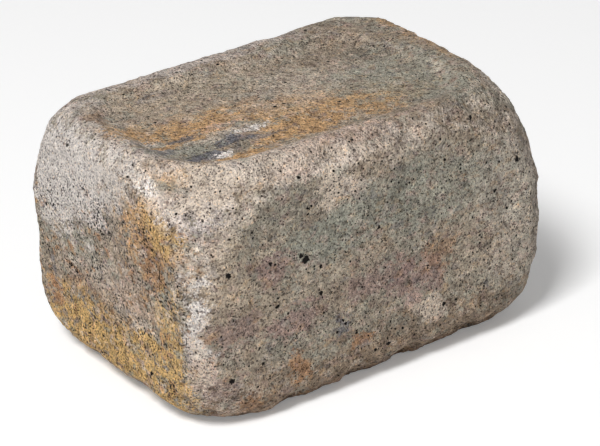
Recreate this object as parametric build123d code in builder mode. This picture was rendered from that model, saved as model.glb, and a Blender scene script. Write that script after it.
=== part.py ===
"""Tumbled concrete wall block, one solid pressed unit.

+X runs along the length, +Y from the front side to the back side, +Z up.
The origin is the centre of the bottom bed. Sizes are in millimetres.
"""

import os
from itertools import product
from math import sqrt

from build123d import *

# Sizes of the unit as it leaves the mould
length = 250.0
depth = 180.0
height = 150.0

# Side of the block that an arris or a corner is on
LEFT, RIGHT = -1, 1
FRONT, BACK = -1, 1
BOTTOM, TOP = -1, 1

# Round that the tumbling drum leaves all over
worn_round = 8.0

# Bevel beaten off each arris under that round, at its two ends. An arris along X starts on
# the left and is on a side in Y and in Z, one along Y starts at the front and is on a side
# in X and in Z, and one along Z starts at the bottom and is on a side in X and in Y.
length_bevels = {
    (FRONT, TOP): (8.0, 3.0),
    (BACK, TOP): (14.0, 3.0),
    (FRONT, BOTTOM): (4.0, 13.0),
    (BACK, BOTTOM): (6.0, 5.0),
}
depth_bevels = {
    (LEFT, TOP): (5.0, 3.0),
    (RIGHT, TOP): (13.0, 3.0),
    (LEFT, BOTTOM): (8.0, 8.0),
    (RIGHT, BOTTOM): (5.0, 6.0),
}
height_bevels = {
    (LEFT, FRONT): (2.0, 4.0),
    (LEFT, BACK): (5.0, 2.0),
    (RIGHT, FRONT): (7.0, 7.0),
    (RIGHT, BACK): (5.0, 5.0),
}

# How far the wear of each corner reaches along X, Y and Z
corner_wear = {
    (LEFT, FRONT, TOP): (40.0, 38.0, 44.0),
    (LEFT, FRONT, BOTTOM): (31.0, 29.0, 28.0),
    (LEFT, BACK, TOP): (27.0, 37.0, 30.0),
    (LEFT, BACK, BOTTOM): (34.0, 33.0, 21.0),
    (RIGHT, FRONT, TOP): (42.0, 44.0, 39.0),
    (RIGHT, FRONT, BOTTOM): (32.0, 31.0, 34.0),
    (RIGHT, BACK, TOP): (22.0, 27.0, 34.0),
    (RIGHT, BACK, BOTTOM): (34.0, 32.0, 36.0),
}

# Lean of the small flats that a corner is worn to: 1 is level with its neighbours
flat_lean = 0.4

# Spalls along the arrises: the place on the arris, and the depth
length_spalls = {
    (FRONT, TOP): [(-64.0, 3.2), (-30.0, 2.8), (24.0, 2.6), (54.0, 2.4)],
    (BACK, TOP): [(-34.0, 2.0), (48.0, 3.0)],
    (FRONT, BOTTOM): [(-60.0, 2.5), (-12.0, 3.5), (20.0, 3.0), (66.0, 2.0), (92.0, 1.6)],
    (BACK, BOTTOM): [(-60.0, 3.0), (20.0, 2.6)],
}
depth_spalls = {
    (LEFT, TOP): [(-12.0, 1.8), (26.0, 1.6)],
    (RIGHT, TOP): [(-18.0, 2.5)],
    (LEFT, BOTTOM): [(-54.0, 1.5), (-26.0, 3.0), (28.0, 2.0)],
    (RIGHT, BOTTOM): [(-32.0, 1.8), (30.0, 2.5)],
}
height_spalls = {
    (LEFT, FRONT): [(52.0, 1.4), (72.0, 2.0)],
    (LEFT, BACK): [(70.0, 2.5)],
    (RIGHT, FRONT): [(48.0, 1.8), (76.0, 2.5)],
    (RIGHT, BACK): [(58.0, 3.0)],
}
spall_round = 30.0

# Hollows knocked in the four sides: the place along the side, the height and the depth
side_hollows = {
    FRONT: [
        (-78.0, 112.0, 1.4), (-30.0, 118.0, 1.6), (30.0, 116.0, 1.4), (90.0, 84.0, 1.2),
        (-86.0, 60.0, 1.2), (-20.0, 62.0, 1.0), (44.0, 60.0, 1.2),
    ],
    BACK: [(-64.0, 100.0, 1.4), (10.0, 96.0, 1.4), (-30.0, 50.0, 1.2), (58.0, 54.0, 1.4)],
}
end_hollows = {
    LEFT: [(-54.0, 96.0, 1.8), (0.0, 104.0, 1.2), (-44.0, 54.0, 1.4), (30.0, 60.0, 1.4)],
    RIGHT: [(-40.0, 96.0, 1.4), (36.0, 92.0, 1.2), (-30.0, 48.0, 1.2), (34.0, 46.0, 1.4)],
}
hollow_round = 90.0

# Dish in the top bed: its rims run from the sides of the block to the edge of its floor
dish_left_rim = 26.0
dish_right_rim = 38.0
dish_front_rim = 31.0
dish_back_rim = 39.0
dish_corner = 34.0
dish_sink = 4.5
dish_slope = 64.0
dish_floor_round = 14.0

block_size = (length, depth, height)
block_centre = (0.0, 0.0, height / 2)
core_size = tuple(size - 2 * worn_round for size in block_size)


def sides_of(axis, pair):
    """Side on each axis, with 0 for the axis that the arris runs along."""
    sides = list(pair)
    sides.insert(axis, 0)
    return sides


def bevel_plane(axis, pair, start, end):
    """Outward plane that bevels an arris of the core."""
    sides = sides_of(axis, pair)
    sides[axis] = (end - start) / core_size[axis]
    half_bevel = (start + end) / 4
    point = [0.0, 0.0, 0.0]
    for i in range(3):
        if i != axis:
            point[i] = sides[i] * (core_size[i] / 2 - half_bevel)
    return Plane(origin=Vector(*block_centre) + Vector(*point), z_dir=Vector(*sides))


def wear_planes(sides, reaches):
    """Outward planes of the small flats that round a corner of the core."""
    radii = [reach - worn_round for reach in reaches]
    centre = [side * (size / 2 - r) for side, size, r in zip(sides, core_size, radii)]
    for lean in product((1.0, flat_lean), repeat=3):
        if max(lean) == 1.0:
            steepness = sqrt(sum(share**2 for share in lean))
            point = [c + s * r * share / steepness for c, s, r, share in zip(centre, sides, radii, lean)]
            normal = [s * share / r for s, r, share in zip(sides, radii, lean)]
            yield Plane(origin=Vector(*block_centre) + Vector(*point), z_dir=Vector(*normal))


def spall_centre(axis, pair, place, sink, bevels):
    """Centre of the ball that breaks a spall out of an arris."""
    start, end = bevels
    share = 0.5 + (place - block_centre[axis]) / core_size[axis]
    bevel = start + (end - start) * share
    worn_back = (sqrt(2) - 1) * worn_round + bevel / sqrt(2)
    outward = (spall_round - sink - worn_back) / sqrt(2)
    sides = sides_of(axis, pair)
    centre = [c + s * (size / 2 + outward) for c, s, size in zip(block_centre, sides, block_size)]
    centre[axis] = place
    return tuple(centre)


def hollow_centre(axis, side, place, level, sink):
    """Centre of the large ball that knocks a shallow hollow in a side."""
    centre = [place, place, level]
    centre[axis] = side * (block_size[axis] / 2 + hollow_round - sink)
    return tuple(centre)


def dish_hollow():
    """The space in the dish, open above the top bed."""
    floor_length = length - dish_left_rim - dish_right_rim
    floor_width = depth - dish_front_rim - dish_back_rim
    middle = ((dish_left_rim - dish_right_rim) / 2, (dish_front_rim - dish_back_rim) / 2)
    with BuildPart() as hollow:
        with BuildSketch(Plane.XY.offset(height - dish_sink)):
            with Locations(middle):
                RectangleRounded(floor_length, floor_width, dish_corner)
        extrude(amount=2 * dish_sink, taper=-dish_slope)
        fillet(faces().sort_by(Axis.Z)[0].edges(), dish_floor_round)
    return hollow.part


with BuildPart() as wall_block:
    with Locations(block_centre):
        Box(*core_size)
    for axis, arrises in enumerate((length_bevels, depth_bevels, height_bevels)):
        for pair, (start, end) in arrises.items():
            split(bisect_by=bevel_plane(axis, pair, start, end), keep=Keep.BOTTOM)
    for sides, reaches in corner_wear.items():
        for flat in wear_planes(sides, reaches):
            split(bisect_by=flat, keep=Keep.BOTTOM)
    offset(amount=worn_round, kind=Kind.ARC)
    add(dish_hollow(), mode=Mode.SUBTRACT)
    arris_spalls = (
        (length_spalls, length_bevels),
        (depth_spalls, depth_bevels),
        (height_spalls, height_bevels),
    )
    for axis, (spalls, bevels) in enumerate(arris_spalls):
        for pair, places in spalls.items():
            with Locations([spall_centre(axis, pair, place, sink, bevels[pair]) for place, sink in places]):
                Sphere(spall_round, mode=Mode.SUBTRACT)
    for axis, hollows in enumerate((end_hollows, side_hollows)):
        for side, places in hollows.items():
            with Locations([hollow_centre(axis, side, *place) for place in places]):
                Sphere(hollow_round, mode=Mode.SUBTRACT)

wall_block.part.label = "wall_block"
os.makedirs("parts", exist_ok=True)
export_step(wall_block.part, "parts/wall_block.step")
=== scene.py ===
import math

import bmesh
import bpy
from mathutils import Matrix, Vector


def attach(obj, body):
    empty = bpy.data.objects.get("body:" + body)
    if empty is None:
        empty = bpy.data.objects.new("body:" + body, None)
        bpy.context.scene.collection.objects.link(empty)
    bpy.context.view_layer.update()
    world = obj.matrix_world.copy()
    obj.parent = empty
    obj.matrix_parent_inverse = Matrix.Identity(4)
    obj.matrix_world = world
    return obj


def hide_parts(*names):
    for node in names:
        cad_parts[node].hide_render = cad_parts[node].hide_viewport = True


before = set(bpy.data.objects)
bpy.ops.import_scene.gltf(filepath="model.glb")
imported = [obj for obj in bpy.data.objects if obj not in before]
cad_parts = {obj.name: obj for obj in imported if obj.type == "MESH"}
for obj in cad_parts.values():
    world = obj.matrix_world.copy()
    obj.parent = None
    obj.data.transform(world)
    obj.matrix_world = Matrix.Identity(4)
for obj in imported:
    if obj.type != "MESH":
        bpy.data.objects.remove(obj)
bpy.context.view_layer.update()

# The pressed block.
# One piece of dry-pressed concrete, moulded as a plain rectangular unit and then tumbled with
# others in a drum, which beats its arrises round and opens pores and pits all over its skin.

BLOCK_NODE = "wall_block"
SKIN_SPACING = 0.00158


def put(tree, kind, sockets=(), **options):
    """Adds a node to a tree, with its options set and its sockets filled or linked."""
    node = tree.nodes.new(kind)
    for option, value in options.items():
        setattr(node, option, value)
    for key, value in dict(sockets).items():
        if isinstance(value, bpy.types.NodeSocket):
            tree.links.new(value, node.inputs[key])
        else:
            node.inputs[key].default_value = value
    return node


def calc(tree, operation, *values, clamp=False):
    return put(tree, "ShaderNodeMath", enumerate(values), operation=operation, use_clamp=clamp).outputs[0]


def vector_calc(tree, operation, a, b=None, scale=None):
    given = {0: a, 1: b, "Scale": scale}
    sockets = {key: value for key, value in given.items() if value is not None}
    node = put(tree, "ShaderNodeVectorMath", sockets, operation=operation)
    return node.outputs["Value" if operation in ("LENGTH", "DISTANCE") else "Vector"]


def noise(tree, place, width, detail=3.0, roughness=0.5, start=0.0, output=0):
    """Noise whose lumps are about one width across; start picks another stretch of it."""
    scale = 1 / width if isinstance(width, (int, float)) else calc(tree, "DIVIDE", 1.0, width)
    sockets = {"Vector": place, "W": start, "Scale": scale, "Detail": detail, "Roughness": roughness}
    return put(tree, "ShaderNodeTexNoise", sockets, noise_dimensions="4D").outputs[output]


def between(tree, value, low, high, to_low=0.0, to_high=1.0):
    """Smooth step of a value from one level to another."""
    sockets = {0: value, 1: low, 2: high, 3: to_low, 4: to_high}
    return put(tree, "ShaderNodeMapRange", sockets, interpolation_type="SMOOTHSTEP").outputs[0]


def merged_copy(node, name):
    """Copy of a CAD node with its loose triangles joined."""
    copy = bpy.data.objects.new(name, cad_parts[node].data.copy())
    bpy.context.scene.collection.objects.link(copy)
    mesh = bmesh.new()
    mesh.from_mesh(copy.data)
    bmesh.ops.remove_doubles(mesh, verts=mesh.verts, dist=1e-6)
    mesh.to_mesh(copy.data)
    mesh.free()
    return copy


def settle(piece):
    """Turns a piece's modifiers into plain mesh."""
    evaluated = piece.evaluated_get(bpy.context.evaluated_depsgraph_get())
    plain = bpy.data.meshes.new_from_object(evaluated)
    piece.modifiers.clear()
    piece.data = plain


POLISH_ROUNDS = 4
WEAR_ROUNDS = 6
# how far a side leans from square where wear begins, and where it is full
WORN_LEAN = (0.015, 0.20)
# the height above the bed where the rough foot begins, and where it is full
FOOT_LEVEL = (0.040, 0.012)
# each kind of relief takes its own stretch of noise, this far from the seed
GRAIN_START, PIT_START, SWELL_START, SPALL_START = 5.0, 13.0, 3.0, 9.0
# the noise level that lies at the height of the moulded skin
LUMP_MIDDLE, GRAIN_MIDDLE, SWELL_MIDDLE = 0.55, 0.52, 0.55
# the noise levels at a hollow's edge and at its full depth
PIT_EDGE = (0.62, 0.76)
SPALL_EDGE = (0.52, 0.72)


def drum_relief():
    """Geometry nodes that wear a smooth block: polish, swells, spalls, lumps, grain and pits."""
    tree = bpy.data.node_groups.new("drum relief", "GeometryNodeTree")
    tree.interface.new_socket("Block", in_out="INPUT", socket_type="NodeSocketGeometry")
    sizes = (
        ("Lump", 0.0032), ("Lump Width", 0.014), ("Grain", 0.0026), ("Grain Width", 0.0048),
        ("Pit", 0.0014), ("Pit Width", 0.0070), ("Swell", 0.0009), ("Swell Width", 0.045),
        ("Spall", 0.0030), ("Spall Width", 0.013),
    )
    for name, size in sizes:
        socket = tree.interface.new_socket(name, in_out="INPUT", socket_type="NodeSocketFloat")
        socket.default_value = size
    tree.interface.new_socket("Seed", in_out="INPUT", socket_type="NodeSocketFloat").default_value = 7.0
    tree.interface.new_socket("Skin", in_out="INPUT", socket_type="NodeSocketMaterial")
    tree.interface.new_socket("Block", in_out="OUTPUT", socket_type="NodeSocketGeometry")
    given = put(tree, "NodeGroupInput").outputs
    place = put(tree, "GeometryNodeInputPosition").outputs[0]
    smooth_place = put(tree, "GeometryNodeBlurAttribute",
                       {"Value": place, "Iterations": POLISH_ROUNDS}, data_type="FLOAT_VECTOR").outputs[0]
    polished = put(tree, "GeometryNodeSetPosition", {"Geometry": given["Block"], "Position": smooth_place})
    normal = put(tree, "GeometryNodeInputNormal").outputs[0]
    facing = put(tree, "ShaderNodeSeparateXYZ", {0: vector_calc(tree, "ABSOLUTE", a=normal)}).outputs
    squarest = calc(tree, "MAXIMUM", calc(tree, "MAXIMUM", facing[0], facing[1]), facing[2])
    lean = calc(tree, "SUBTRACT", 1.0, squarest)
    lean = put(tree, "GeometryNodeBlurAttribute", {"Value": lean, "Iterations": WEAR_ROUNDS}).outputs[0]
    wear = between(tree, lean, *WORN_LEAN)
    kept_wear = put(tree, "GeometryNodeStoreNamedAttribute",
                    {"Geometry": polished.outputs[0], "Name": "wear", "Value": wear},
                    data_type="FLOAT", domain="POINT")
    seed = given["Seed"]
    place = put(tree, "GeometryNodeInputPosition").outputs[0]
    lump = noise(tree, place, given["Lump Width"], 2.0, start=seed)
    grain = noise(tree, place, given["Grain Width"], 3.0, 0.7, start=calc(tree, "ADD", seed, GRAIN_START))
    pit = noise(tree, place, given["Pit Width"], 1.0, 0.5, start=calc(tree, "ADD", seed, PIT_START))
    # the arrises and the foot of the block are rougher than its sides
    level = put(tree, "ShaderNodeSeparateXYZ", {0: place}).outputs[2]
    rough = calc(tree, "MAXIMUM", wear, between(tree, level, *FOOT_LEVEL))
    rough = calc(tree, "MULTIPLY_ADD", rough, 0.5, 0.5)
    rise = calc(tree, "MULTIPLY", calc(tree, "SUBTRACT", lump, LUMP_MIDDLE), given["Lump"])
    rise = calc(tree, "MULTIPLY_ADD", calc(tree, "SUBTRACT", grain, GRAIN_MIDDLE), given["Grain"], rise)
    rise = calc(tree, "SUBTRACT", rise, calc(tree, "MULTIPLY", between(tree, pit, *PIT_EDGE), given["Pit"]))
    rise = calc(tree, "MULTIPLY", rise, rough)
    kept_rise = put(tree, "GeometryNodeStoreNamedAttribute",
                    {"Geometry": kept_wear.outputs[0], "Name": "rise", "Value": rise},
                    data_type="FLOAT", domain="POINT")
    # wide swells all over, and spalls broken out of the arrises
    swell = noise(tree, place, given["Swell Width"], 1.0, start=calc(tree, "ADD", seed, SWELL_START))
    swell = calc(tree, "MULTIPLY", calc(tree, "SUBTRACT", swell, SWELL_MIDDLE), given["Swell"])
    spall = noise(tree, place, given["Spall Width"], 2.0, 0.6, start=calc(tree, "ADD", seed, SPALL_START))
    spall = calc(tree, "MULTIPLY", between(tree, spall, *SPALL_EDGE), wear)
    rise = calc(tree, "ADD", rise, swell)
    rise = calc(tree, "SUBTRACT", rise, calc(tree, "MULTIPLY", spall, given["Spall"]))
    offset = vector_calc(tree, "SCALE", a=normal, scale=rise)
    worn = put(tree, "GeometryNodeSetPosition", {"Geometry": kept_rise.outputs[0], "Offset": offset})
    # the bottom bed doesn't swell below the plane that the block rests on
    place = put(tree, "GeometryNodeInputPosition").outputs[0]
    x, y, z = put(tree, "ShaderNodeSeparateXYZ", {0: place}).outputs
    above = put(tree, "ShaderNodeCombineXYZ", {0: x, 1: y, 2: calc(tree, "MAXIMUM", z, 0.0)}).outputs[0]
    rested = put(tree, "GeometryNodeSetPosition", {"Geometry": worn.outputs[0], "Position": above})
    smooth = put(tree, "GeometryNodeSetShadeSmooth", {"Geometry": rested.outputs[0]})
    real = put(tree, "GeometryNodeRealizeInstances", {0: smooth.outputs[0]})
    skin = put(tree, "GeometryNodeSetMaterial", {"Geometry": real.outputs[0], "Material": given["Skin"]})
    put(tree, "NodeGroupOutput", {0: skin.outputs[0]})
    return tree


concrete = bpy.data.materials.new("tumbled_concrete")
block = merged_copy(BLOCK_NODE, "tumbled_block")
remesh = block.modifiers.new("skin", "REMESH")
remesh.mode = "VOXEL"
remesh.voxel_size = SKIN_SPACING
settle(block)
block.data.materials.clear()
relief = block.modifiers.new("relief", "NODES")
relief.node_group = drum_relief()
for item in relief.node_group.interface.items_tree:
    if item.name == "Skin":
        relief[item.identifier] = concrete
settle(block)

# The concrete's colour and skin.
# Sand, cement and iron-oxide pigments that were only part mixed, so that ochre, rust, plum and
# blue-black cloud through a warm grey. The drum opens the sand grains and whitens the arrises.

CEMENT_WARM = (0.330, 0.265, 0.200, 1)
CEMENT_GREEN = (0.290, 0.262, 0.208, 1)
TAN = (0.40, 0.325, 0.245, 1)
ASH = (0.265, 0.210, 0.155, 1)
GREEN_GREY = (0.285, 0.280, 0.228, 1)
WORN_WHITE = (0.60, 0.52, 0.45, 1)
CREAM = (0.77, 0.65, 0.53, 1)
LIME_WHITE = (0.78, 0.72, 0.67, 1)
PINK_GREY = (0.575, 0.505, 0.465, 1)
CHALK = (0.53, 0.45, 0.375, 1)
ROSE = (0.53, 0.375, 0.310, 1)
OCHRE = (0.48, 0.300, 0.152, 1)
GOLD = (0.53, 0.350, 0.145, 1)
BURNT = (0.25, 0.150, 0.085, 1)
RUST = (0.36, 0.195, 0.100, 1)
PLUM = (0.270, 0.188, 0.165, 1)
BLUE_BLACK = (0.150, 0.145, 0.155, 1)
PORE_SHADE = (0.007, 0.005, 0.004, 1)

MM = 0.001

# Clouds of pigment: colour, strength, then centre and reach in millimetres
CLOUDS = (
    # the left end
    (PINK_GREY, 1.0, (-124, 38, 120), (24, 50, 32)),
    (LIME_WHITE, 0.8, (-122, 60, 114), (22, 16, 34)),
    (ASH, 0.7, (-124, 16, 74), (20, 52, 24)),
    (TAN, 0.7, (-124, -22, 122), (16, 18, 20)),
    (OCHRE, 0.95, (-124, -52, 112), (12, 26, 24)),
    (RUST, 0.7, (-124, -52, 92), (12, 14, 14)),
    (RUST, 0.6, (-124, -38, 62), (12, 22, 8)),
    (BURNT, 0.8, (-124, -50, 98), (12, 13, 14)),
    (BURNT, 0.8, (-124, -30, 68), (12, 24, 8)),
    (BURNT, 0.7, (-124, 14, 56), (12, 26, 7)),
    (GREEN_GREY, 0.7, (-124, 26, 80), (12, 22, 12)),
    (GOLD, 0.8, (-124, -60, 118), (12, 14, 14)),
    (GOLD, 1.0, (-122, 0, 26), (24, 80, 24)),
    (GOLD, 0.9, (-122, -62, 46), (12, 16, 34)),
    (BURNT, 0.4, (-124, 14, 48), (12, 30, 7)),
    (RUST, 0.9, (-124, 64, 38), (10, 8, 7)),
    (CHALK, 0.8, (-124, -28, 50), (8, 12, 3.5)),
    (CHALK, 0.5, (-124, 0, 66), (10, 50, 16)),
    (ROSE, 0.6, (-120, -66, 134), (10, 16, 10)),
    (LIME_WHITE, 1.0, (-122, -43, 141), (12, 10, 10)),
    # the near corner and its arris
    (PINK_GREY, 0.95, (-112, -82, 134), (26, 26, 18)),
    (PINK_GREY, 0.9, (-117, -87, 116), (13, 11, 30)),
    (CHALK, 0.9, (-121, -88, 84), (10, 10, 60)),
    (LIME_WHITE, 0.95, (-121, -88, 90), (7, 7, 40)),
    (ROSE, 0.8, (-121, -88, 48), (7, 7, 22)),
    (CHALK, 0.7, (-118, -86, 16), (10, 10, 16)),
    (CHALK, 0.7, (-122, -4, 140), (7, 60, 6)),
    (ROSE, 0.6, (-110, -89, 118), (10, 10, 12)),
    # the top bed
    (CHALK, 0.6, (-112, 4, 150), (12, 60, 8)),
    (CHALK, 0.95, (-66, -72, 150), (64, 16, 12)),
    (OCHRE, 0.75, (-112, -60, 146), (8, 24, 10)),
    (PINK_GREY, 0.6, (-102, 24, 149), (18, 64, 8)),
    (ROSE, 0.5, (-20, -76, 150), (44, 12, 8)),
    (PINK_GREY, 0.6, (-30, 74, 150), (90, 12, 10)),
    (OCHRE, 1.0, (-92, 8, 147), (22, 16, 8)),
    (OCHRE, 1.0, (-66, -4, 147), (24, 17, 8)),
    (OCHRE, 1.0, (-36, 0, 147), (26, 17, 8)),
    (OCHRE, 1.0, (-16, -42, 147), (34, 16, 8)),
    (OCHRE, 0.8, (-8, -10, 147), (40, 20, 8)),
    (TAN, 0.8, (14, 12, 147), (34, 14, 8)),
    (OCHRE, 0.9, (34, -34, 147), (38, 22, 8)),
    (CHALK, 0.4, (20, 10, 148), (60, 30, 8)),
    (BURNT, 0.6, (-18, 12, 147), (12, 5, 8)),
    (ROSE, 0.5, (-50, -14, 147), (12, 4, 8)),
    (CHALK, 0.6, (-66, -24, 147), (26, 4, 8)),
    (GREEN_GREY, 0.7, (-84, -33, 147), (20, 10, 8)),
    (BLUE_BLACK, 1.0, (-60, -36, 147), (14, 7, 8)),
    (BLUE_BLACK, 1.0, (-86, -43, 147), (16, 6, 8)),
    (BLUE_BLACK, 0.8, (-81, -14, 147), (9, 3, 8)),
    (BLUE_BLACK, 0.7, (-98, -26, 147), (8, 5, 8)),
    (BLUE_BLACK, 0.7, (-38, -41, 147), (14, 3, 8)),
    (BLUE_BLACK, 0.6, (-91, 27, 147), (10, 4, 8)),
    (OCHRE, 1.0, (-68, -56, 147), (22, 5, 8)),
    (OCHRE, 0.9, (-93, -20, 147), (7, 5, 8)),
    (LIME_WHITE, 1.0, (-42, -30, 147), (11, 3, 8)),
    (LIME_WHITE, 0.9, (-70, -46, 147), (13, 2.5, 8)),
    (TAN, 0.6, (-60, 34, 147), (60, 26, 8)),
    (ASH, 0.6, (-100, 40, 148), (12, 14, 8)),
    (BLUE_BLACK, 0.6, (-60, 47, 147), (13, 6, 8)),
    (BURNT, 0.5, (-104, 34, 148), (10, 8, 8)),
    (TAN, 0.5, (-10, 44, 147), (50, 18, 8)),
    (ASH, 0.5, (70, 34, 148), (46, 30, 8)),
    (GREEN_GREY, 0.7, (70, -20, 148), (40, 40, 8)),
    (OCHRE, 0.6, (112, 14, 146), (8, 38, 10)),
    # the front side
    (CHALK, 0.9, (-56, -88, 144), (40, 12, 10)),
    (ROSE, 0.6, (-46, -88, 146), (20, 14, 8)),
    (CHALK, 0.95, (-24, -88, 124), (17, 14, 13)),
    (OCHRE, 0.7, (-25, -89, 118), (4, 10, 4)),
    (ROSE, 0.8, (23, -89, 41), (6, 10, 6)),
    (PLUM, 0.8, (-56, -89, 66), (18, 10, 1.5)),
    (TAN, 0.8, (-92, -90, 92), (36, 14, 46)),
    (CEMENT_GREEN, 0.9, (-66, -90, 122), (24, 14, 13)),
    (CHALK, 0.7, (-102, -89, 14), (22, 14, 14)),
    (CHALK, 0.5, (24, -88, 136), (20, 12, 8)),
    (ASH, 0.7, (56, -88, 142), (18, 12, 10)),
    (RUST, 0.5, (32, -89, 136), (3, 10, 5)),
    (GREEN_GREY, 0.8, (30, -90, 104), (66, 14, 18)),
    (GREEN_GREY, 0.8, (-40, -90, 100), (34, 14, 12)),
    (GREEN_GREY, 0.6, (96, -90, 100), (24, 14, 26)),
    (CHALK, 0.4, (98, -90, 78), (32, 14, 56)),
    (PLUM, 0.85, (-71, -90, 92), (14, 14, 8)),
    (PLUM, 0.7, (-100, -90, 62), (16, 14, 10)),
    (PLUM, 0.8, (-62, -90, 56), (16, 14, 7)),
    (PLUM, 0.8, (26, -90, 56), (18, 14, 14)),
    (PLUM, 0.7, (-4, -90, 64), (24, 14, 8)),
    (PLUM, 0.7, (-112, -90, 26), (12, 14, 12)),
    (TAN, 0.6, (64, -90, 62), (16, 14, 14)),
    (TAN, 0.5, (-20, -90, 78), (30, 14, 8)),
    # painted shade: the bottom of the front side darkened along the bed
    (BURNT, 0.85, (10, -88, 6), (120, 24, 22)),
    (ASH, 0.8, (20, -88, 16), (110, 14, 18)),
    (RUST, 0.7, (-58, -90, 27), (6, 14, 9)),
    (RUST, 0.7, (-16, -90, 30), (7, 14, 4)),
    (RUST, 0.6, (-91, -88, 14), (8, 14, 5)),
    (RUST, 0.4, (40, -90, 66), (12, 14, 12)),
    (CHALK, 0.7, (34, -90, 32), (10, 14, 8)),
    (BLUE_BLACK, 0.8, (-27, -90, 45), (4, 14, 5)),
    # the right end
    (OCHRE, 0.7, (124, 20, 90), (18, 40, 22)),
    (PLUM, 0.6, (124, -30, 50), (18, 26, 18)),
    (GREEN_GREY, 0.7, (124, 30, 40), (18, 50, 22)),
    (CHALK, 0.6, (122, -40, 110), (18, 20, 16)),
    # the back
    (GOLD, 0.8, (-50, 90, 40), (50, 18, 26)),
    (OCHRE, 0.6, (50, 90, 90), (44, 18, 20)),
    (PLUM, 0.6, (80, 90, 46), (26, 18, 18)),
    (PINK_GREY, 0.7, (-60, 90, 110), (46, 18, 26)),
    (RUST, 0.6, (10, 90, 60), (12, 16, 8)),
)
# Powder of lime and crushed cement, rubbed into the skin on top of its colours; on the near arris it is also
# a painted highlight along the ridge
POWDER_AND_RIDGE_HIGHLIGHT = (
    # the near arris: rubbed lime, and partly a painted highlight on its rounded ridge
    (LIME_WHITE, 1.00, (-121.5, -87, 100), (9, 9, 46)),
    (CREAM, 0.65, (-121.5, -87, 34), (4.5, 4.5, 34)),
    (CREAM, 0.75, (-110, -80, 139), (24, 24, 13)),
    (LIME_WHITE, 0.95, (-124, 52, 120), (16, 44, 30)),
    (LIME_WHITE, 0.75, (-122, 16, 132), (16, 48, 15)),
    (CREAM, 1.00, (-32, -89, 128), (9, 12, 12)),
    (CREAM, 0.45, (-56, -84, 148), (46, 12, 7)),
    (CREAM, 0.15, (20, -88, 138), (30, 10, 7)),
    (CREAM, 0.70, (31, -89, 33), (7, 10, 6)),
)

# Pores left by air in the mix: radius, then centre, in millimetres
MARKED_PORES = (
    (2.8, (-51, -89.5, 90.5)),
    (2.0, (-54.5, -89.5, 93.5)),
    (1.9, (-103, -89.5, 33)),
    (1.7, (-101, -89.5, 96)),
    (1.6, (43, -89.5, 33)),
    (1.4, (-1, -89.5, 95)),
    (1.2, (-48, -89.5, 120)),
    (1.5, (-74, -89.5, 95)),
    (1.5, (-42, -89.5, 67)),
    (1.5, (-71, -89.5, 68)),
    (1.4, (82, -89.5, 93)),
    (1.4, (3, -89.5, 21)),
    (1.3, (-82, -89.5, 37)),
    (1.3, (-95, -89, 137)),
    (1.5, (-26, -89.5, 43)),
    (1.3, (-28, -89.5, 46)),
    (1.5, (-41, -89.5, 83)),
    (2.0, (-22, 43, 147)),
    (1.4, (-124, 26, 110)),
    (1.6, (-124, -41, 25)),
    (1.6, (124, 10, 64)),
    (2.4, (124, -36, 88)),
    (2.6, (-20, 89.5, 84)),
    (1.8, (64, 89.5, 58)),
)


def grit_group():
    """Sand grains of one size: a random value for each grain, and its round height."""
    tree = bpy.data.node_groups.new("grit", "ShaderNodeTree")
    tree.interface.new_socket("Place", in_out="INPUT", socket_type="NodeSocketVector")
    tree.interface.new_socket("Width", in_out="INPUT", socket_type="NodeSocketFloat")
    tree.interface.new_socket("Pick", in_out="OUTPUT", socket_type="NodeSocketFloat")
    tree.interface.new_socket("Height", in_out="OUTPUT", socket_type="NodeSocketFloat")
    given = put(tree, "NodeGroupInput").outputs
    scale = calc(tree, "DIVIDE", 1.0, given["Width"])
    cells = put(tree, "ShaderNodeTexVoronoi", {"Vector": given["Place"], "Scale": scale})
    pick = put(tree, "ShaderNodeSeparateColor", {0: cells.outputs["Color"]}).outputs[0]
    height = calc(tree, "SUBTRACT", 1.0, cells.outputs["Distance"])
    put(tree, "NodeGroupOutput", {0: pick, 1: height})
    return tree


def pore_group():
    """Open pores of one size class: 1 inside a pore. A share of the cells holds one each."""
    tree = bpy.data.node_groups.new("pores", "ShaderNodeTree")
    tree.interface.new_socket("Place", in_out="INPUT", socket_type="NodeSocketVector")
    for name in ("Apart", "Radius", "Share"):
        tree.interface.new_socket(name, in_out="INPUT", socket_type="NodeSocketFloat")
    tree.interface.new_socket("Hole", in_out="OUTPUT", socket_type="NodeSocketFloat")
    given = put(tree, "NodeGroupInput").outputs
    scale = calc(tree, "DIVIDE", 1.0, given["Apart"])
    cells = put(tree, "ShaderNodeTexVoronoi", {"Vector": given["Place"], "Scale": scale})
    pick = put(tree, "ShaderNodeSeparateColor", {0: cells.outputs["Color"]}).outputs[0]
    size = calc(tree, "DIVIDE", calc(tree, "SUBTRACT", given["Share"], pick), given["Share"], clamp=True)
    radius = calc(tree, "MULTIPLY", calc(tree, "SQRT", size), given["Radius"])
    away = calc(tree, "MULTIPLY", cells.outputs["Distance"], given["Apart"])
    soft_edge = calc(tree, "MULTIPLY", given["Radius"], 0.25)
    inside = calc(tree, "DIVIDE", calc(tree, "SUBTRACT", radius, away), soft_edge, clamp=True)
    put(tree, "NodeGroupOutput", {0: inside})
    return tree


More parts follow.
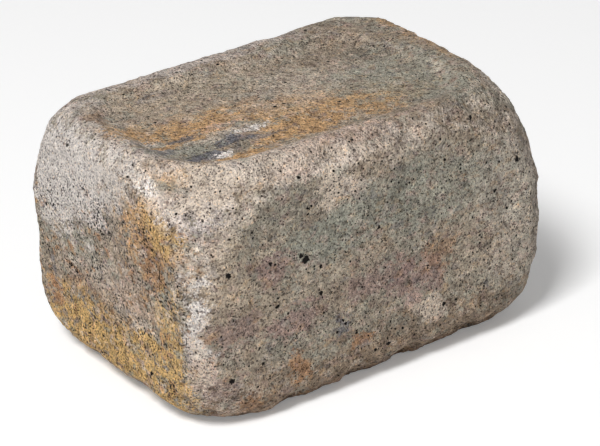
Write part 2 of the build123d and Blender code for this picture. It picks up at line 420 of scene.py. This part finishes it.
def cloud_group():
    """Ragged cloud of pigment round a centre: 1 inside and 0 outside."""
    tree = bpy.data.node_groups.new("pigment cloud", "ShaderNodeTree")
    for name in ("Place", "Centre", "Reach"):
        tree.interface.new_socket(name, in_out="INPUT", socket_type="NodeSocketVector")
    for name in ("Break", "Strength"):
        tree.interface.new_socket(name, in_out="INPUT", socket_type="NodeSocketFloat")
    tree.interface.new_socket("Mask", in_out="OUTPUT", socket_type="NodeSocketFloat")
    given = put(tree, "NodeGroupInput").outputs
    away = vector_calc(tree, "SUBTRACT", a=given["Place"], b=given["Centre"])
    share = vector_calc(tree, "LENGTH", a=vector_calc(tree, "DIVIDE", a=away, b=given["Reach"]))
    ragged = calc(tree, "ADD", share, given["Break"])
    mask = between(tree, ragged, 1.22, 0.78)
    put(tree, "NodeGroupOutput", {0: calc(tree, "MULTIPLY", mask, given["Strength"])})
    return tree


concrete.use_nodes = True
tree = concrete.node_tree
tree.nodes.clear()
place = put(tree, "ShaderNodeTexCoord").outputs["Object"]


def mix(share, under, over, blend="MIX"):
    sockets = {0: share, 6: under, 7: over}
    return put(tree, "ShaderNodeMix", sockets, data_type="RGBA", blend_type=blend).outputs[2]


def shaded(colour, level):
    """The colour, made lighter or darker by a level that varies over the surface."""
    grey = put(tree, "ShaderNodeCombineColor", {0: level, 1: level, 2: level}).outputs[0]
    return mix(1.0, colour, grey, "MULTIPLY")


def pushed(place, width, reach, start):
    """The place, pushed about by noise so that what is drawn there gets a ragged edge."""
    push = noise(tree, place, width, 2.0, start=start, output=1)
    push = vector_calc(tree, "SUBTRACT", a=push, b=(0.5, 0.5, 0.5))
    return vector_calc(tree, "ADD", a=place, b=vector_calc(tree, "SCALE", a=push, scale=reach))


def levels(value, shades):
    """The shade of the level that a value has reached, without a blend from one to the next."""
    ramp = put(tree, "ShaderNodeValToRGB", {0: value})
    ramp.color_ramp.interpolation = "CONSTANT"
    while len(ramp.color_ramp.elements) < len(shades):
        ramp.color_ramp.elements.new(0.5)
    for element, (position, shade) in zip(ramp.color_ramp.elements, shades):
        element.position = position
        element.color = shade
    return ramp.outputs[0]


def about_zero(tree, value, reach):
    """A value from 0 to 1, moved to lie evenly about 0 and stretched to a reach."""
    return calc(tree, "MULTIPLY_ADD", value, reach, -reach / 2)


# the press squeezed the mix downwards, so its colours lie drawn out level
drawn_out = vector_calc(tree, "MULTIPLY", a=place, b=(0.7, 0.7, 1.0))
ragged_place = pushed(pushed(place, 0.022, 0.020, 1.0), 0.005, 0.009, 2.0)
colour = mix(between(tree, noise(tree, place, 0.04, 3.0, start=4.0), 0.4, 0.6), CEMENT_WARM, CEMENT_GREEN)
cloud_tree = cloud_group()
grit_tree = grit_group()
# the edge of a cloud breaks up into patches, and into single flecks of sand
FLECK_WIDTH = 0.0009
fine_place = pushed(place, FLECK_WIDTH, FLECK_WIDTH, 6.0)
sockets = {"Place": fine_place, "Width": FLECK_WIDTH}
fleck = put(tree, "ShaderNodeGroup", sockets, node_tree=grit_tree).outputs["Pick"]
broken = about_zero(tree, noise(tree, drawn_out, 0.008, 4.0, 0.62, start=8.0), 3.2)
broken = calc(tree, "ADD", broken, about_zero(tree, fleck, 0.5))


def clouded(colour, clouds):
    """The colour, with each pigment of a list laid over it in its own cloud."""
    for pigment, strength, centre, reach in clouds:
        cloud = put(tree, "ShaderNodeGroup", {
            "Place": ragged_place, "Centre": [size * MM for size in centre],
            "Reach": [size * MM for size in reach], "Break": broken, "Strength": strength,
        }, node_tree=cloud_tree)
        colour = mix(cloud.outputs[0], colour, pigment)
    return colour


colour = clouded(colour, CLOUDS)

# 1 on the left end below its top arris, and 0 elsewhere
along, _, above_bed = put(tree, "ShaderNodeSeparateXYZ", {0: place}).outputs
below_arris = between(tree, above_bed, 0.134, 0.114)
left_end = calc(tree, "MULTIPLY", between(tree, along, -0.108, -0.120), below_arris)

# Tints a few millimetres wide, where a little of each pigment shows through everywhere:
# the pigment, its strength on the left end, and its strength elsewhere
TINT_EDGE = (0.57, 0.64)
TINTS = (
    (OCHRE, 0.70, 0.25), (PLUM, 0.70, 0.50), (CHALK, 0.70, 0.45), (BLUE_BLACK, 0.70, 0.40),
    (GREEN_GREY, 0.70, 0.50), (ROSE, 0.40, 0.30), (RUST, 0.70, 0.18),
)
for number, (pigment, at_left_end, elsewhere) in enumerate(TINTS):
    spread = noise(tree, drawn_out, 0.0056, 4.0, 0.62, start=40.0 + 3.0 * number)
    strength = calc(tree, "MULTIPLY_ADD", left_end, at_left_end - elsewhere, elsewhere)
    tinted = calc(tree, "MULTIPLY", between(tree, spread, *TINT_EDGE), strength)
    colour = mix(tinted, colour, pigment)

# Crumbs of the relief, with painted shade in their hollows and painted light on their lumps: noise level,
# then the shade from there on
CRUMB_PAINTED_LIGHT_AND_SHADE = (
    (0.0, (0.72, 0.69, 0.68, 1)), (0.36, (1.05, 1.05, 1.06, 1)), (0.43, (1.28, 1.29, 1.31, 1)),
    (0.53, (1.48, 1.49, 1.51, 1)), (0.62, (1.70, 1.72, 1.75, 1)),
)
# painted shade in the low spots of the relief and painted light on its high ones
RISE_ENDS = (-0.0011, 0.0004)
RISE_PAINTED_LIGHT_AND_SHADE = (0.70, 1.14)
worn = put(tree, "ShaderNodeAttribute", attribute_name="wear").outputs["Fac"]
rise = put(tree, "ShaderNodeAttribute", attribute_name="rise").outputs["Fac"]
patchy = between(tree, noise(tree, place, 0.012, 5.0, 0.75, start=11.0), 0.42, 0.62)
# the foot is whitened less than the other arrises, so that it stays darker: painted shade along the lower
# edge
patchy = calc(tree, "MULTIPLY", patchy, between(tree, above_bed, 0.010, 0.036, 0.10, 0.65))
colour = mix(calc(tree, "MULTIPLY", worn, patchy), colour, WORN_WHITE)
colour = shaded(colour, between(tree, rise, *RISE_ENDS, *RISE_PAINTED_LIGHT_AND_SHADE))
crumb_relief_and_shade = noise(tree, place, 0.0042, 4.0, 0.62, start=14.0)
colour = mix(1.0, colour, levels(crumb_relief_and_shade, CRUMB_PAINTED_LIGHT_AND_SHADE), "MULTIPLY")
colour = clouded(colour, POWDER_AND_RIDGE_HIGHLIGHT)

# Sand grains of two sizes, each grain in a shade of its own
GRIT_WIDTHS = (0.0011, 0.0007)
GRIT_STRENGTH = 0.9
GRIT_HEIGHT = 0.9
GRIT_SHADES = (
    (0.0, (0.36, 0.34, 0.34, 1)), (0.07, (0.74, 0.73, 0.74, 1)), (0.20, (0.96, 0.96, 0.97, 1)),
    (0.50, (1.08, 1.08, 1.07, 1)), (0.80, (1.18, 1.17, 1.16, 1)), (0.94, (1.32, 1.30, 1.28, 1)),
    (0.98, (1.26, 1.14, 1.00, 1)),
)
height = 0.0
for number, width in enumerate(GRIT_WIDTHS):
    grit_place = pushed(place, width, width * 0.8, 20.0 + number)
    grit = put(tree, "ShaderNodeGroup", {"Place": grit_place, "Width": width}, node_tree=grit_tree).outputs
    colour = mix(GRIT_STRENGTH, colour, levels(grit["Pick"], GRIT_SHADES), "MULTIPLY")
    height = calc(tree, "MULTIPLY_ADD", grit["Height"], width * GRIT_HEIGHT, height)

# Pores: distance apart, largest radius, share of places that hold one
PORE_SIZES = ((0.0015, 0.0005, 0.40), (0.0027, 0.0008, 0.36), (0.0065, 0.0013, 0.20), (0.014, 0.0018, 0.15))
pore_tree = pore_group()
pore_place = pushed(place, 0.0011, 0.0011, 33.0)
# the smallest pores crowd together in patches, more so on the left end and less on the arrises
crowding = about_zero(tree, noise(tree, place, 0.018, 2.0, start=52.0), 0.24)
crowding = calc(tree, "MULTIPLY_ADD", left_end, 0.065, crowding)
crowding = calc(tree, "MULTIPLY_ADD", worn, -0.07, crowding)
speckle = calc(tree, "ADD", noise(tree, place, 0.0016, 2.0, 0.6, start=51.0), crowding)
holes = between(tree, speckle, 0.650, 0.662)
for apart, radius, share in PORE_SIZES:
    sockets = {"Place": pore_place, "Apart": apart, "Radius": radius, "Share": share}
    hole = put(tree, "ShaderNodeGroup", sockets, node_tree=pore_tree).outputs[0]
    holes = calc(tree, "MAXIMUM", holes, hole)
    height = calc(tree, "MULTIPLY_ADD", hole, -radius, height)
marked_place = pushed(place, 0.0020, 0.0036, 36.0)
for size, centre in MARKED_PORES:
    away = vector_calc(tree, "DISTANCE", a=marked_place, b=[side * MM for side in centre])
    holes = calc(tree, "MAXIMUM", holes, between(tree, away, size * MM, size * MM * 0.75))
# the pores are filled with near black: painted shade inside them
colour = mix(holes, colour, PORE_SHADE)

CRUMB_HEIGHT = 0.0050
height = calc(tree, "MULTIPLY_ADD", crumb_relief_and_shade, CRUMB_HEIGHT, height)
bump = put(tree, "ShaderNodeBump", {"Strength": 0.9, "Distance": 1.0, "Height": height})
shader = put(tree, "ShaderNodeBsdfPrincipled",
             {"Base Color": colour, "Roughness": 0.93, "Specular IOR Level": 0.18, "Normal": bump.outputs[0]})
put(tree, "ShaderNodeOutputMaterial", {0: shader.outputs[0]})

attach(block, "root")
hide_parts(BLOCK_NODE)

# The floor that the block stands on.
# Plain pale board, larger than the view.

FLOOR_HALF = 3.0
floor_mesh = bpy.data.meshes.new("floor")
corners = [(x * FLOOR_HALF, y * FLOOR_HALF, 0) for x, y in ((-1, -1), (1, -1), (1, 1), (-1, 1))]
floor_mesh.from_pydata(corners, [], [(0, 1, 2, 3)])
floor = bpy.data.objects.new("floor", floor_mesh)
bpy.context.scene.collection.objects.link(floor)
board = bpy.data.materials.new("pale_board")
board.use_nodes = True
board_tree = board.node_tree
board_tree.nodes.clear()
board_rays = put(board_tree, "ShaderNodeLightPath").outputs
board_shader = put(board_tree, "ShaderNodeBsdfPrincipled", {
    "Base Color": (0.93, 0.93, 0.93, 1), "Roughness": 0.9, "Emission Color": (1, 1, 1, 1),
    "Emission Strength": calc(board_tree, "MULTIPLY", board_rays["Is Camera Ray"], 0.20),
})
put(board_tree, "ShaderNodeOutputMaterial", {0: board_shader.outputs[0]})
floor_mesh.materials.append(board)

# Studio light.
# A large soft lamp high on the left and an even pale surround.

world = bpy.data.worlds.new("surround")
bpy.context.scene.world = world
world.use_nodes = True
sky = world.node_tree
sky.nodes.clear()
# the surround looks white, and lights the block with a fifth of that
SURROUND_LIGHT = 0.20
rays = put(sky, "ShaderNodeLightPath").outputs
seen = calc(sky, "MAXIMUM", rays["Is Camera Ray"], rays["Is Glossy Ray"])
seen = calc(sky, "MAXIMUM", seen, rays["Is Transmission Ray"])
strength = calc(sky, "MULTIPLY_ADD", seen, 1 - SURROUND_LIGHT, SURROUND_LIGHT)
glow = put(sky, "ShaderNodeBackground", {"Color": (1, 1, 1, 1), "Strength": strength})
put(sky, "ShaderNodeOutputWorld", {0: glow.outputs[0]})

LAMP_SIZE = 1.2
LAMP_POWER = 137.0
LAMP_PLACE = Vector((-2.06, -1.14, 3.31))
BLOCK_MIDDLE = Vector((0, 0, 0.07))
light = bpy.data.lights.new("key_lamp", "AREA")
light.size = LAMP_SIZE
light.energy = LAMP_POWER
key_lamp = bpy.data.objects.new("key_lamp", light)
key_lamp.location = LAMP_PLACE
key_lamp.rotation_euler = (BLOCK_MIDDLE - LAMP_PLACE).to_track_quat("-Z", "Y").to_euler()
bpy.context.scene.collection.objects.link(key_lamp)

# The camera.
# It looks down on the near corner from the front left, with a long lens and a slight tilt.

AIM = Vector((0.0026, -0.0063, 0.0668))
AZIMUTH = math.radians(-33.97)
ELEVATION = math.radians(24.75)
TILT = math.radians(-2.66)
REACH = 1.4068
LENS = 144.0

level_reach = math.cos(ELEVATION)
back = Vector((math.sin(AZIMUTH) * level_reach, -math.cos(AZIMUTH) * level_reach, math.sin(ELEVATION)))
camera = bpy.data.objects.new("camera", bpy.data.cameras.new("camera"))
camera.data.lens = LENS
camera.data.sensor_width = 36.0
camera.location = AIM + back * REACH
camera.rotation_euler = (back.to_track_quat("Z", "Y").to_matrix() @ Matrix.Rotation(TILT, 3, "Z")).to_euler()
bpy.context.scene.collection.objects.link(camera)
bpy.context.scene.camera = camera
bpy.context.scene.view_settings.view_transform = "Standard"
